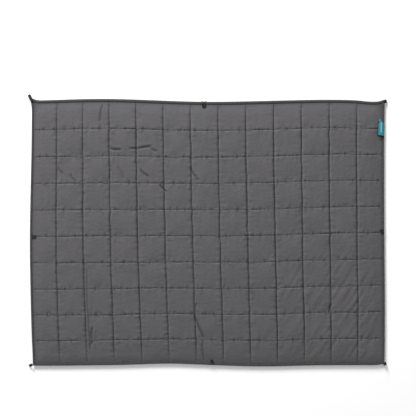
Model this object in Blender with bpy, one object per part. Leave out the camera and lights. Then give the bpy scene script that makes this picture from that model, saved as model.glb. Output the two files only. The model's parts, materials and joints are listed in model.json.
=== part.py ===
"""Camp quilt, lying flat and face up.

Two fabric shells with a batt of synthetic fill between them are quilted into square cells, and the
raw edges are bound with folded tape. A tape loop is sewn into each corner and the middle of each
edge, and two labels into the right edge. +X runs along the long side, +Y along the short side and
+Z up. The origin is on the floor under the middle of the quilt.

The outer columns on each side fold over onto the middle ones, about a line just outside a seam.
"""

import math

import bmesh
import bpy
import numpy as np
from mathutils import Vector

# Overall sizes and the quilting pattern
LENGTH = 2.0
WIDTH = 1.5
COLUMNS = 13
ROWS = 10
FLAP_COLUMNS = 3

# Heights in a cell and at a seam, above the floor
LOFT = 0.024
SEAM_LIFT = 0.0070
CROWN_INSET = 0.036
SHELL_THICKNESS = 0.0005
PRESSED_BATT = 0.0008

# Fits
GAP = 0.0003
FOLD_CLEARANCE = 0.001
REST_CLEARANCE = 0.0015

# Thread and tape
THREAD_WIDTH = 0.0010
THREAD_HEIGHT = 0.0008
BINDING_WIDTH = 0.012
BINDING_THICKNESS = 0.0012
EDGE_STITCH_INSET = 0.009
TACK_LENGTH = 0.012
TACK_WIDTH = 0.002
TACK_HEIGHT = 0.0008

# Loops: one 12 mm tape, lying on its flat at the corners and on its edge along the sides
LOOP_SETBACK = 0.002
CORNER_SETBACK = 0.003
LOOP_THICKNESS = 0.0012
CORNER_TAPE_WIDTH = 0.012
CORNER_EYE = 0.0066
LOOP_LIFT = 0.0062
EYE_START = 0.45
EYE_END = 0.9
SIDE_TAPE_WIDTH = 0.006
SIDE_LOOP_SPREAD = 0.019
SIDE_LOOP_LENGTH = 0.028

# Labels in the right edge
LABEL_THICKNESS = 0.0010
LABEL_WIDTH = 0.034
LABEL_HEIGHT = 0.092
LABEL_FROM_CORNER = 0.149
CARE_THICKNESS = 0.0006
CARE_WIDTH = 0.037
CARE_HEIGHT = 0.086
CARE_DROP = 0.010

# name: (corner signs, direction in the plane in degrees from +X, reach)
CORNER_LOOPS = {
    "corner_loop_top_left": (-1, 1, 122, 0.040),
    "corner_loop_top_right": (1, 1, 60, 0.028),
    "corner_loop_bottom_left": (-1, -1, 200, 0.027),
    "corner_loop_bottom_right": (1, -1, 348, 0.022),
}
# name: (edge normal, place along that edge)
SIDE_LOOPS = {
    "side_loop_top": ((0, 1), -0.023),
    "side_loop_bottom": ((0, -1), 0.022),
    "side_loop_left": ((-1, 0), -0.020),
    "side_loop_right": ((1, 0), 0.011),
}

SHELL_GREY = (0.125, 0.120, 0.127)
LINING_GREY = (0.100, 0.097, 0.102)
BATT_WHITE = (0.80, 0.80, 0.78)
THREAD_GREY = (0.045, 0.043, 0.046)
BINDING_GREY = (0.055, 0.052, 0.056)
TAPE_BLACK = (0.022, 0.021, 0.023)
LABEL_TEAL = (0.018, 0.27, 0.35)
CARE_BLACK = (0.015, 0.015, 0.016)
CLOTH_ROUGHNESS = 0.80
THREAD_ROUGHNESS = 0.60
TAPE_ROUGHNESS = 0.85
SMOOTH_ANGLE = math.radians(40)

# Worked out from the values above
CELL_X = LENGTH / COLUMNS
CELL_Y = WIDTH / ROWS
FOLD_SEAM = (COLUMNS / 2 - FLAP_COLUMNS) * CELL_X
SPLIT = FOLD_SEAM + THREAD_WIDTH
FOLD_HEIGHT = LOFT + FOLD_CLEARANCE
FIELD_X = LENGTH / 2 - BINDING_WIDTH
FIELD_Y = WIDTH / 2 - BINDING_WIDTH
CLOTH_X = LENGTH / 2 - BINDING_THICKNESS - GAP
CLOTH_Y = WIDTH / 2 - BINDING_THICKNESS - GAP

# Each layer's two faces as (height at a seam, height in the cell)
LINING_LOW = (SEAM_LIFT, 0.0)
LINING_TOP = (SEAM_LIFT + SHELL_THICKNESS, SHELL_THICKNESS)
BATT_LOW = (LINING_TOP[0] + GAP, LINING_TOP[1] + GAP)
BATT_TOP = (BATT_LOW[0] + PRESSED_BATT, LOFT - SHELL_THICKNESS - GAP)
SHELL_LOW = (BATT_TOP[0] + GAP, BATT_TOP[1] + GAP)
SHELL_TOP = (SHELL_LOW[0] + SHELL_THICKNESS, LOFT)
BINDING_LOW = SEAM_LIFT - GAP - BINDING_THICKNESS
BINDING_TOP = SHELL_TOP[0] + GAP + BINDING_THICKNESS
CELL_SLOPE = (SHELL_TOP[1] - SHELL_TOP[0]) / CROWN_INSET
NEEDLE_LOW = SHELL_TOP[0] + GAP + CELL_SLOPE * THREAD_WIDTH / 2
TACK_LOW = BINDING_TOP + GAP
TACK_TOP = TACK_LOW + TACK_HEIGHT
LOOP_SEAT = TACK_TOP + GAP

PANEL_SIGNS = {"left": -1, "center": 0, "right": 1}


def resting_tilt(base, reach):
    """The slope at which something sewn in at an edge, with its underside at base, clears the cell."""
    fabric_height = SHELL_TOP[0] + CELL_SLOPE * (LOOP_SETBACK + reach - BINDING_WIDTH)
    return math.atan2(fabric_height + REST_CLEARANCE - base, reach)


def clear_scene():
    for obj in list(bpy.data.objects):
        bpy.data.objects.remove(obj, do_unlink=True)


def fabric(name, colour, roughness):
    material = bpy.data.materials.new(name)
    material.use_nodes = True
    shader = material.node_tree.nodes["Principled BSDF"]
    shader.inputs["Base Color"].default_value = (*colour, 1.0)
    shader.inputs["Roughness"].default_value = roughness
    shader.inputs["Metallic"].default_value = 0.0
    return material


def axis_empty(name, place):
    """The frame that a moving body's pieces hang from, on its joint's axis."""
    empty = bpy.data.objects.new(name, None)
    empty.location = place
    bpy.context.scene.collection.objects.link(empty)
    return empty


def finish(bm, name, colour, roughness, axis=None, smooth=False):
    """Makes a piece of a mesh that is drawn in world coordinates, under its axis if it moves."""
    bmesh.ops.recalc_face_normals(bm, faces=bm.faces[:])
    if axis:
        bmesh.ops.translate(bm, verts=bm.verts[:], vec=-axis.location)
    mesh = bpy.data.meshes.new(name)
    bm.to_mesh(mesh)
    bm.free()
    mesh.materials.append(fabric(name, colour, roughness))
    if smooth:
        mesh.shade_smooth()
        mesh.set_sharp_from_angle(angle=SMOOTH_ANGLE)
    obj = bpy.data.objects.new(name, mesh)
    obj.parent = axis
    bpy.context.scene.collection.objects.link(obj)
    return obj


def extrude(bm, step):
    """Carries every face along step and closes the solid, and returns the far corners."""
    made = bmesh.ops.extrude_face_region(bm, geom=bm.faces[:])
    far = [item for item in made["geom"] if isinstance(item, bmesh.types.BMVert)]
    bmesh.ops.translate(bm, verts=far, vec=Vector(step))
    return far


def seam_lines(count, pitch, limit):
    """The places of the quilting seams between two ends, both ends left out."""
    lines = [(i - count / 2) * pitch for i in range(1, count)]
    return [line for line in lines if abs(line) < limit]


def panel_lines(sign):
    """The lines across a panel along X: its ends, the bound margin and every seam."""
    seams = seam_lines(COLUMNS, CELL_X, FIELD_X)
    if sign == 0:
        inner = [x for x in seams if abs(x) <= FOLD_SEAM + GAP]
        return [GAP - SPLIT, *inner, SPLIT - GAP]
    outer = [abs(x) for x in seams if x * sign > FOLD_SEAM + GAP]
    return sorted(sign * x for x in (SPLIT + GAP, *outer, FIELD_X, CLOTH_X))


def thread_ends(sign):
    """Where a panel's rows of thread and its long-edge binding begin and end."""
    if sign == 0:
        return GAP - SPLIT, SPLIT - GAP
    return tuple(sorted((sign * (SPLIT + GAP), sign * (FIELD_X - GAP))))


def rib_lines(sign):
    """The seams that a panel's quilting thread runs along, up its length."""
    ends = thread_ends(sign)
    return [x for x in seam_lines(COLUMNS, CELL_X, FIELD_X) if ends[0] < x < ends[1]]


def quilted_layer(name, sign, low, top, colour, axis):
    """A layer whose cells rise from the seams to a flat crown, on both of its faces."""
    seams_y = seam_lines(ROWS, CELL_Y, FIELD_Y)
    xs = panel_lines(sign)
    ys = [-CLOTH_Y, -FIELD_Y, *seams_y, FIELD_Y, CLOTH_Y]
    bm = bmesh.new()
    grid = [[bm.verts.new((x, y, top[0])) for x in xs] for y in ys]
    cells = []
    for j in range(len(ys) - 1):
        for i in range(len(xs) - 1):
            face = bm.faces.new((grid[j][i], grid[j][i + 1], grid[j + 1][i + 1], grid[j + 1][i]))
            if min(xs[i + 1] - xs[i], ys[j + 1] - ys[j]) > 2 * CROWN_INSET:
                cells.append(face)
    bm.normal_update()
    bmesh.ops.inset_individual(bm, faces=cells, thickness=CROWN_INSET, use_even_offset=True)
    crowns = {corner for cell in cells for corner in cell.verts}
    for corner in crowns:
        corner.co.z = top[1]
    for corner in extrude(bm, (0, 0, 0)):
        at_seam = abs(corner.co.z - top[0]) < abs(corner.co.z - top[1])
        corner.co.z = low[0] if at_seam else low[1]
    return finish(bm, name, colour, CLOTH_ROUGHNESS, axis)


def lattice(name, xs, ys, filled, low, height, axis):
    """A flat net: the filled cells between the lines xs and ys, one height thick."""
    bm = bmesh.new()
    grid = [[bm.verts.new((x, y, low)) for x in xs] for y in ys]
    for j in range(len(ys) - 1):
        for i in range(len(xs) - 1):
            if filled(i, j):
                bm.faces.new((grid[j][i], grid[j][i + 1], grid[j + 1][i + 1], grid[j + 1][i]))
    bmesh.ops.delete(bm, geom=[v for v in bm.verts if not v.link_faces], context="VERTS")
    extrude(bm, (0, 0, height))
    return finish(bm, name, THREAD_GREY, THREAD_ROUGHNESS, axis)


def quilting_thread(name, sign, low, axis):
    """One panel's thread: a rib along every seam that crosses it, joined where seams cross."""
    half = THREAD_WIDTH / 2
    ends_x = thread_ends(sign)
    end_y = FIELD_Y - GAP
    cuts_x = [x + side for x in rib_lines(sign) for side in (-half, half)]
    cuts_y = [y + side for y in seam_lines(ROWS, CELL_Y, FIELD_Y) for side in (-half, half)]
    xs = [ends_x[0], *cuts_x, ends_x[1]]
    ys = [-end_y, *cuts_y, end_y]

    def on_a_seam(i, j):
        return i % 2 == 1 or j % 2 == 1

    return lattice(name, xs, ys, on_a_seam, low, THREAD_HEIGHT, axis)


def edge_thread(name, sign, axis):
    """The row of stitching that holds the binding, along a panel's share of the edge."""
    x0, x1 = LENGTH / 2 - EDGE_STITCH_INSET, LENGTH / 2 - EDGE_STITCH_INSET + THREAD_WIDTH
    y0, y1 = WIDTH / 2 - EDGE_STITCH_INSET, WIDTH / 2 - EDGE_STITCH_INSET + THREAD_WIDTH
    ys = [-y1, -y0, y0, y1]
    xs = sorted((sign * (SPLIT + GAP), sign * x0, sign * x1))
    side = 0 if sign < 0 else 1

    def on_the_row(i, j):
        return j != 1 or i == side

    return lattice(name, xs, ys, on_the_row, BINDING_TOP + GAP, THREAD_HEIGHT / 2, axis)


def edge_thread_across(name, sign_y):
    """The same stitching along the middle panel, on one long edge."""
    y0 = WIDTH / 2 - EDGE_STITCH_INSET
    ys = sorted((sign_y * y0, sign_y * (y0 + THREAD_WIDTH)))
    xs = [GAP - SPLIT, SPLIT - GAP]
    return lattice(name, xs, ys, lambda i, j: True, BINDING_TOP + GAP, THREAD_HEIGHT / 2, None)


def binding(name, outward, along, start, end, edge, axis):
    """Tape folded round the raw edge: a channel that is open towards the quilt."""
    bm = bmesh.new()
    throat_low, throat_top = BINDING_LOW + BINDING_THICKNESS, BINDING_TOP - BINDING_THICKNESS
    profile = [
        (edge - BINDING_WIDTH, BINDING_LOW),
        (edge, BINDING_LOW),
        (edge, BINDING_TOP),
        (edge - BINDING_WIDTH, BINDING_TOP),
        (edge - BINDING_WIDTH, throat_top),
        (edge - BINDING_THICKNESS, throat_top),
        (edge - BINDING_THICKNESS, throat_low),
        (edge - BINDING_WIDTH, throat_low),
    ]
    near_end = along * start
    bm.faces.new([bm.verts.new(outward * out + near_end + Vector((0, 0, z))) for out, z in profile])
    extrude(bm, along * (end - start))
    return finish(bm, name, BINDING_GREY, TAPE_ROUGHNESS, axis)


def smooth_path(points, samples):
    """A curve through the points (Catmull-Rom), with its ends carried straight on."""
    p = np.array(points, float)
    p = np.vstack([2 * p[0] - p[1], p, 2 * p[-1] - p[-2]])
    spans = len(p) - 3
    out = []
    for t in np.linspace(0, spans, samples):
        k = min(int(t), spans - 1)
        u = t - k
        a, b, c, d = p[k : k + 4]
        linear, square, cube = c - a, 2 * a - 5 * b + 4 * c - d, 3 * b - a - 3 * c + d
        out.append((2 * b + linear * u + square * u**2 + cube * u**3) / 2)
    return np.array(out)


def tape(name, path, thickness, width, root, plane, colour, axis):
    """A strip that follows a path in the plane of across and up, as wide as width along side."""
    across, up, side = plane
    tangent = np.gradient(path, axis=0)
    tangent /= np.linalg.norm(tangent, axis=1)[:, None]
    normal = np.stack([-tangent[:, 1], tangent[:, 0]], axis=1)
    bm = bmesh.new()
    rails = []
    for offset in (-thickness / 2, thickness / 2):
        edge = root - side * (width / 2)
        rails.append([bm.verts.new(edge + across * a + up * b) for a, b in path + normal * offset])
    for k in range(len(path) - 1):
        bm.faces.new((rails[0][k], rails[0][k + 1], rails[1][k + 1], rails[1][k]))
    extrude(bm, side * width)
    return finish(bm, name, colour, TAPE_ROUGHNESS, axis, smooth=True)


def bar_tack(name, centre, angle, axis):
    """A short bar of dense stitches over the tape's ends."""
    bm = bmesh.new()
    bmesh.ops.create_cube(bm, size=1.0)
    bmesh.ops.scale(bm, verts=bm.verts[:], vec=(TACK_WIDTH, TACK_LENGTH, TACK_HEIGHT))
    turn = Vector((math.cos(angle), math.sin(angle), 0)).to_track_quat("X", "Z").to_matrix()
    bmesh.ops.rotate(bm, verts=bm.verts[:], cent=(0, 0, 0), matrix=turn)
    bmesh.ops.translate(bm, verts=bm.verts[:], vec=centre)
    return finish(bm, name, THREAD_GREY, THREAD_ROUGHNESS, axis)


def corner_loop(name, sign_x, sign_y, degrees, reach, panel_axis):
    """A loop drawn out of a corner, its tape flat, with an open eye that lies on the floor."""
    heading = math.radians(degrees)
    out = Vector((math.cos(heading), math.sin(heading), 0))
    side = Vector((-out.y, out.x, 0))
    steep, shallow = max(abs(out.x), abs(out.y)), min(abs(out.x), abs(out.y))
    clear = (CORNER_SETBACK + shallow * CORNER_TAPE_WIDTH / 2) / steep
    half_root = LOOP_THICKNESS / 2 + GAP
    height = LOOP_SEAT + half_root + LOOP_THICKNESS / 2
    root_x, root_y = LENGTH / 2 - CORNER_SETBACK, WIDTH / 2 - CORNER_SETBACK
    root = Vector((sign_x * root_x, sign_y * root_y, height))
    empty = axis_empty(name + "_axis", root)
    floor = LOOP_THICKNESS / 2 + LOOP_LIFT - height
    eye_top = floor + CORNER_EYE + LOOP_THICKNESS
    belly = clear + EYE_START * (reach - clear)
    near_tip = EYE_END * reach
    points = [
        (0.0, -half_root),
        (clear, -half_root),
        (belly, floor),
        (near_tip, floor),
        (reach, (floor + eye_top) / 2),
        (near_tip, eye_top),
        (belly, eye_top + half_root),
        (clear, half_root),
        (0.0, half_root),
    ]
    path = smooth_path(points, 21)
    plane = (out, Vector((0, 0, 1)), side)
    tape(name, path, LOOP_THICKNESS, CORNER_TAPE_WIDTH, root, plane, TAPE_BLACK, empty)
    tack_place = Vector((root.x, root.y, (TACK_LOW + TACK_TOP) / 2))
    bar_tack(name + "_tack", tack_place, heading, panel_axis)


def side_loop(name, normal, place, panel_axis):
    """A loop sewn in at an edge and laid back over the face, its tape on edge."""
    inward = -Vector((*normal, 0))
    side = Vector((-inward.y, inward.x, 0))
    edge = (LENGTH if normal[0] else WIDTH) / 2 - LOOP_SETBACK
    height = LOOP_SEAT + SIDE_TAPE_WIDTH / 2
    along = Vector((abs(normal[1]), abs(normal[0]), 0))
    root = along * place - inward * edge + Vector((0, 0, height))
    empty = axis_empty(name + "_axis", root)
    tilt = resting_tilt(LOOP_SEAT, SIDE_LOOP_LENGTH)
    lean = inward * math.cos(tilt) + Vector((0, 0, math.sin(tilt)))
    stand = lean.cross(side)
    half = SIDE_LOOP_SPREAD / 2
    straight = SIDE_LOOP_LENGTH - half
    turns = np.linspace(0, math.pi, 9)
    bend = [(math.sin(t) * half + straight, -math.cos(t) * half) for t in turns]
    path = np.array([(0.0, -half), (straight / 2, -half), *bend, (straight / 2, half), (0.0, half)])
    plane = (lean, side, stand)
    tape(name, path, LOOP_THICKNESS, SIDE_TAPE_WIDTH, root, plane, TAPE_BLACK, empty)
    for tail, shift in (("a", -half), ("b", half)):
        place_tack = root + side * shift
        place_tack.z = (TACK_LOW + TACK_TOP) / 2
        bar_tack(f"{name}_tack_{tail}", place_tack, math.atan2(inward.y, inward.x), panel_axis)


def labels():
    """The woven label and the care label behind it, caught in the same seam."""
    half_stack = (CARE_THICKNESS + GAP + LABEL_THICKNESS) / 2
    base = BINDING_TOP + GAP
    root_x, root_y = LENGTH / 2 - LOOP_SETBACK, WIDTH / 2 - LABEL_FROM_CORNER
    root = Vector((root_x, root_y, base + half_stack))
    empty = axis_empty("label_axis", root)
    tilt = resting_tilt(base, CARE_WIDTH)
    lean = Vector((-math.cos(tilt), 0, math.sin(tilt)))
    side = Vector((0, 1, 0))
    up = side.cross(lean)
    above, below = half_stack - LABEL_THICKNESS / 2, CARE_THICKNESS / 2 - half_stack
    sheets = (
        ("woven_label", LABEL_THICKNESS, LABEL_WIDTH, LABEL_HEIGHT, 0.0, above, LABEL_TEAL),
        ("care_label", CARE_THICKNESS, CARE_WIDTH, CARE_HEIGHT, -CARE_DROP, below, CARE_BLACK),
    )
    for name, thickness, width, height, shift, lift, colour in sheets:
        place = root + side * shift + up * lift
        path = np.array([(0.0, 0.0), (width / 2, 0.0), (width, 0.0)])
        tape(name, path, thickness, height, place, (lean, up, side), colour, empty)


def panel(name, sign, axis):
    """Everything of one panel that is fixed to it, from the floor up."""
    quilted_layer(f"bottom_shell_{name}", sign, LINING_LOW, LINING_TOP, LINING_GREY, axis)
    quilted_layer(f"batting_{name}", sign, BATT_LOW, BATT_TOP, BATT_WHITE, axis)
    quilted_layer(f"top_shell_{name}", sign, SHELL_LOW, SHELL_TOP, SHELL_GREY, axis)
    quilting_thread(f"bobbin_thread_{name}", sign, SEAM_LIFT - GAP - THREAD_HEIGHT, axis)
    quilting_thread(f"needle_thread_{name}", sign, NEEDLE_LOW, axis)
    if sign:
        edge_thread(f"edge_thread_{name}", sign, axis)
        outward, along = Vector((sign, 0, 0)), Vector((0, 1, 0))
        binding(f"binding_{name}", outward, along, -WIDTH / 2, WIDTH / 2, LENGTH / 2, axis)
    else:
        edge_thread_across("edge_thread_center_top", 1)
        edge_thread_across("edge_thread_center_bottom", -1)
    for edge, sign_y in (("top", 1), ("bottom", -1)):
        outward, along = Vector((0, sign_y, 0)), Vector((1, 0, 0))
        binding(f"binding_{edge}_{name}", outward, along, *thread_ends(sign), WIDTH / 2, axis)


def quilt():
    clear_scene()
    axes = {"center": None}
    for name in ("left", "right"):
        axes[name] = axis_empty(f"fold_{name}_axis", (PANEL_SIGNS[name] * SPLIT, 0, FOLD_HEIGHT))
    bpy.context.view_layer.update()
    for name, sign in PANEL_SIGNS.items():
        panel(name, sign, axes[name])
    for name, (sign_x, sign_y, degrees, reach) in CORNER_LOOPS.items():
        corner_loop(name, sign_x, sign_y, degrees, reach, axes["left" if sign_x < 0 else "right"])
    for name, (normal, place) in SIDE_LOOPS.items():
        panel_name = {-1: "left", 0: "center", 1: "right"}[normal[0]]
        side_loop(name, normal, place, axes[panel_name])
    labels()


quilt()
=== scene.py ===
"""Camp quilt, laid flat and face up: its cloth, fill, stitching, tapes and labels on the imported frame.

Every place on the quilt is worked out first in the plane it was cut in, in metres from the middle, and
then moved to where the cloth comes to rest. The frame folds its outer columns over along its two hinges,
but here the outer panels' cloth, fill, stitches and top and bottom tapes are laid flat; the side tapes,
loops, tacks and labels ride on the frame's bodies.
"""

import json
import math

import bpy
import numpy as np
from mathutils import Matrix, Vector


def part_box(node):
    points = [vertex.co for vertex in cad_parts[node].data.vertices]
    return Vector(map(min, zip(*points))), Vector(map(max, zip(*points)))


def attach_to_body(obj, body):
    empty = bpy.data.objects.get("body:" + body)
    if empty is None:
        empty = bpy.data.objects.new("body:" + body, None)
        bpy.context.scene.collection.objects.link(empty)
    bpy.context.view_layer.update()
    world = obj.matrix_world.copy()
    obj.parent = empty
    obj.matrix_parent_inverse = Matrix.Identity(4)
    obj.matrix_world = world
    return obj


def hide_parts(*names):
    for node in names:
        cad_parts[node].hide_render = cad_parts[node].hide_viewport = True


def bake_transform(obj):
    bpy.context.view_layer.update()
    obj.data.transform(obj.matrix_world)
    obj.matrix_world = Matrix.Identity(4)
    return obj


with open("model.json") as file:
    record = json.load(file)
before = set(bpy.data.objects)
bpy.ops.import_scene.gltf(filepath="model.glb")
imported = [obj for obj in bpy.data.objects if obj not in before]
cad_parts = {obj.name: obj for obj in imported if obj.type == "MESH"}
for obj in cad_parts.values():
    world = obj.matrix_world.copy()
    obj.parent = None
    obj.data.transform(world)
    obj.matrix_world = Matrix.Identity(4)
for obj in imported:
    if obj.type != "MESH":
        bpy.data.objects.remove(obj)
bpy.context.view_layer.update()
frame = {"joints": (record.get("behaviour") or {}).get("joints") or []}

bl_info = {
    "name": "Camp Quilt",
    "version": (1, 0, 0),
    "blender": (4, 5, 0),
    "location": "3D View > Sidebar > Quilt",
    "description": "Sews the cloth, fill, stitching, tapes and labels of a camp quilt onto its frame",
    "category": "Object",
}

# The quilting pattern, and which columns each panel of the visible cloth holds
COLUMNS = 13
ROWS = 10
PANELS = {"left": (0, 4), "center": (4, 9), "right": (9, 13)}

# Sizes that the frame gives
HINGES = {joint["name"]: joint["pos_m"] for joint in frame["joints"]}
TAPE_LOW, TAPE_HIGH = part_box("binding_left")
HALF_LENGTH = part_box("binding_right")[1].x
HALF_WIDTH = TAPE_HIGH.y
TAPE_WIDTH = TAPE_HIGH.x - TAPE_LOW.x
CELL_X = 2 * HALF_LENGTH / COLUMNS
CELL_Y = 2 * HALF_WIDTH / ROWS
FIELD_X = HALF_LENGTH - TAPE_WIDTH
FIELD_Y = HALF_WIDTH - TAPE_WIDTH
SEAMS_X = np.array([-FIELD_X, *((i - COLUMNS / 2) * CELL_X for i in range(1, COLUMNS)), FIELD_X])
SEAMS_Y = np.array([-FIELD_Y, *((j - ROWS / 2) * CELL_Y for j in range(1, ROWS)), FIELD_Y])

# The cloth at a seam: the lining's underside there, and the outer fabric's face above it
FIT = 0.0003
SEAM_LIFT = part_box("bobbin_thread_center")[1].z + FIT
SEAM_STACK = 0.0024
TAPE_THICKNESS = 0.0012
HEM = 0.0015

# Creases that lie across cells, in columns and rows from the top left corner, and how deep in metres
CREASES = (
    (2.77, 0.16, 2.62, 0.77, 0.0024),
    (3.02, 1.70, 3.42, 1.80, 0.0026),
    (3.72, 1.70, 4.56, 1.64, 0.0028),
    (4.56, 1.64, 4.70, 1.82, 0.0024),
    (4.10, 2.44, 4.42, 2.80, 0.0024),
    (4.86, 3.02, 5.05, 3.35, 0.0026),
    (5.96, 2.35, 6.22, 2.90, 0.0026),
    (1.05, 2.38, 1.22, 2.66, 0.0018),
    (1.53, 2.64, 1.68, 2.95, 0.0018),
    (3.50, 2.85, 3.30, 2.35, 0.0014),
    (6.00, 8.02, 6.27, 8.98, 0.0036),
    (6.10, 7.55, 6.00, 8.02, 0.0020),
    (11.04, 7.66, 10.89, 8.02, 0.0034),
    (6.27, 8.98, 6.22, 9.85, 0.0022),
    (2.26, 8.45, 2.17, 9.20, 0.0030),
    (2.12, 6.20, 2.10, 9.60, 0.0016),
)

# Corner loops: the tape's heading in degrees from +X, its reach from the seam, and how wide it spreads
CORNER_LOOPS = {
    "top_left": (119, 0.044, 0.0165),
    "top_right": (8, 0.018, 0.0185),
    "bottom_left": (203, 0.021, 0.0145),
    "bottom_right": (28, 0.017, 0.0150),
}
# Side loops: the edge's outward direction, how far the loop reaches over the face, and its spread
SIDE_LOOPS = {
    "top": ((0, 1), 0.033, 0.0115),
    "bottom": ((0, -1), 0.025, 0.0095),
    "left": ((-1, 0), 0.020, 0.0085),
    "right": ((1, 0), 0.019, 0.0100),
}
PANEL_OF_EDGE = {"top": "center", "bottom": "center", "left": "flap_left", "right": "flap_right"}


class QuiltShape(bpy.types.PropertyGroup):
    """The sizes of the soft parts."""

    crown: bpy.props.FloatProperty(
        name="Cell Height", description="Height of a cell's crown above the floor", default=0.0190, unit="LENGTH"
    )
    seam_reach: bpy.props.FloatProperty(
        name="Groove Reach", description="How far from a seam a cell is fully puffed", default=0.013, unit="LENGTH"
    )
    cross_seam: bpy.props.FloatProperty(
        name="Cross Seam Height", description="Share of the puff that is left over a cross seam", default=0.80
    )
    edge_reach: bpy.props.FloatProperty(
        name="Edge Reach", description="How far from an edge a cell is fully puffed", default=0.055, unit="LENGTH"
    )
    pucker: bpy.props.FloatProperty(
        name="Pucker Depth", description="Depth of the gathers along the seams", default=0.0016, unit="LENGTH"
    )
    cloth: bpy.props.FloatProperty(
        name="Cloth Thickness", description="Thickness of the two cloths", default=0.0005, unit="LENGTH"
    )
    stitch: bpy.props.FloatProperty(
        name="Stitch Pitch", description="Distance from one stitch to the next", default=0.005, unit="LENGTH"
    )
    thread: bpy.props.FloatProperty(
        name="Thread Width", description="Width of the quilting thread", default=0.0009, unit="LENGTH"
    )
    steps: bpy.props.IntProperty(
        name="Cloth Steps", description="Steps of the cloth's grid across one cell", default=30, min=8, max=32
    )


class QuiltColours(bpy.types.PropertyGroup):
    """The colours of the cloths, tapes and threads."""

    outer: bpy.props.FloatVectorProperty(
        name="Outer Fabric", description="Colour of the face", subtype="COLOR", default=(0.092, 0.089, 0.093)
    )
    lining: bpy.props.FloatVectorProperty(
        name="Lining", description="Colour of the underside", subtype="COLOR", default=(0.062, 0.060, 0.064)
    )
    fill: bpy.props.FloatVectorProperty(
        name="Fill", description="Colour of the batting", subtype="COLOR", default=(0.78, 0.78, 0.76)
    )
    thread: bpy.props.FloatVectorProperty(
        name="Thread", description="Colour of the quilting thread", subtype="COLOR", default=(0.030, 0.029, 0.031)
    )
    edge_tape: bpy.props.FloatVectorProperty(
        name="Edge Tape", description="Colour of the binding", subtype="COLOR", default=(0.052, 0.051, 0.052)
    )
    loop_tape: bpy.props.FloatVectorProperty(
        name="Loop Tape", description="Colour of the tape loops", subtype="COLOR", default=(0.016, 0.016, 0.017)
    )
    label: bpy.props.FloatVectorProperty(
        name="Label", description="Colour of the woven label", subtype="COLOR", default=(0.019, 0.255, 0.330)
    )
    label_mark: bpy.props.FloatVectorProperty(
        name="Label Mark", description="Colour of the label's zigzag", subtype="COLOR", default=(0.62, 0.72, 0.74)
    )
    care: bpy.props.FloatVectorProperty(
        name="Care Label", description="Colour of the care label", subtype="COLOR", default=(0.012, 0.012, 0.013)
    )
    floor: bpy.props.FloatVectorProperty(
        name="Floor", description="Colour of the floor", subtype="COLOR", default=(0.97, 0.97, 0.97)
    )


class QuiltStage(bpy.types.PropertyGroup):
    """The camera and the lights."""

    lens: bpy.props.FloatProperty(name="Lens", description="Focal length", default=100.0, subtype="DISTANCE_CAMERA")
    height: bpy.props.FloatProperty(
        name="Camera Height", description="Height of the camera above the floor", default=6.572, unit="LENGTH"
    )
    middle: bpy.props.FloatProperty(
        name="Camera Place", description="Where along the short side the camera stands", default=0.142, unit="LENGTH"
    )
    key: bpy.props.FloatProperty(name="Key Light", description="Power of the softbox", default=1700.0, unit="POWER")
    ambient: bpy.props.FloatProperty(name="Ambient", description="Strength of the light all round", default=0.53)


# Shapes, worked out as whole arrays


def bump(place, middle, spread):
    """A smooth hill, one high at its middle: e to the minus square of the distance over the spread."""
    return np.exp(-(((place - middle) / spread) ** 2))


def ease(value):
    """A step from 0 to 1 with level ends: three times the square less twice the cube."""
    value = np.clip(value, 0, 1)
    return value * value * (3 - 2 * value)


def hills(a, b, seed):
    """Smooth hills between -1 and 1: random heights on the whole numbers, joined by eased steps."""
    size = 256
    heights = np.random.default_rng(seed).uniform(-1, 1, (size, size))
    i, j = np.floor(a).astype(int), np.floor(b).astype(int)
    p, q = ease(a - i), ease(b - j)
    i, j, i1, j1 = i % size, j % size, (i + 1) % size, (j + 1) % size
    near = heights[i, j] * (1 - p) + heights[i1, j] * p
    far = heights[i, j1] * (1 - p) + heights[i1, j1] * p
    return near * (1 - q) + far * q


def lie(x, y):
    """Where a place in the cut comes to rest.

    Seams lean: by a hump across the quilt, to the left at the top and to the right at the foot. Cross
    seams sag by a parabola that falls to the left, and nothing at either edge, and all the rows lie a
    little low, the first ones most. Each edge waves by its own hills, which fade with the square of the
    distance to the edge across. Three corners are pulled out of square by a hill round each.
    """
    s, t = x / HALF_LENGTH, 0.5 - 0.5 * y / HALF_WIDTH
    q = y / HALF_WIDTH
    hump = 1 - s * s
    lean = -0.023 * hump * (1 - 0.8 * s) * (1 - t) + 0.013 * hump * (1 + 0.25 * s) * t
    sag = -(0.0148 - 0.0122 * s - 0.0083 * s * s) * (1 - np.abs(2 * t - 1) ** 3)
    sag -= 0.0128 * (1 - np.exp(-t / 0.03)) * np.exp(-t / 0.32)
    top = 0.012 * bump(s, -0.58, 0.34) - 0.005 * bump(s, 0.02, 0.26) + 0.007 * bump(s, 0.68, 0.28)
    top -= 0.007 * bump(s, 0.93, 0.07)
    foot = 0.009 * bump(s, -0.24, 0.2) - 0.007 * bump(s, 0.3, 0.22) - 0.003 * bump(s, -0.9, 0.2)
    left = 0.006 * bump(q, -1, 0.2) - 0.012 * bump(q, -0.05, 0.6)
    right = 0.0025 * bump(q, 1.0, 0.25) + 0.004 * bump(q, -0.6, 0.5)
    drawn = bump(np.hypot(x + HALF_LENGTH, y - HALF_WIDTH), 0, 0.026)
    tucked = bump(np.hypot(x - HALF_LENGTH, y + HALF_WIDTH), 0, 0.030)
    pulled = bump(np.hypot(x - HALF_LENGTH, y - HALF_WIDTH), 0, 0.022)
    inside = (1 - s**8) * (1 - q**8)
    x = x + lean + left * (0.5 - 0.5 * s) ** 2 + right * (0.5 + 0.5 * s) ** 2
    y = y + sag + top * (1 - t) ** 2 + foot * t**2
    x = x - 0.006 * drawn - 0.002 * tucked + 0.003 * pulled
    y = y + 0.013 * drawn + 0.007 * tucked + 0.008 * pulled
    return (
        x + 0.0022 * hills(s * 11, q * 16, 3) * inside,
        y + 0.0022 * hills(s * 18, q * 9, 4) * inside,
    )


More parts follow.
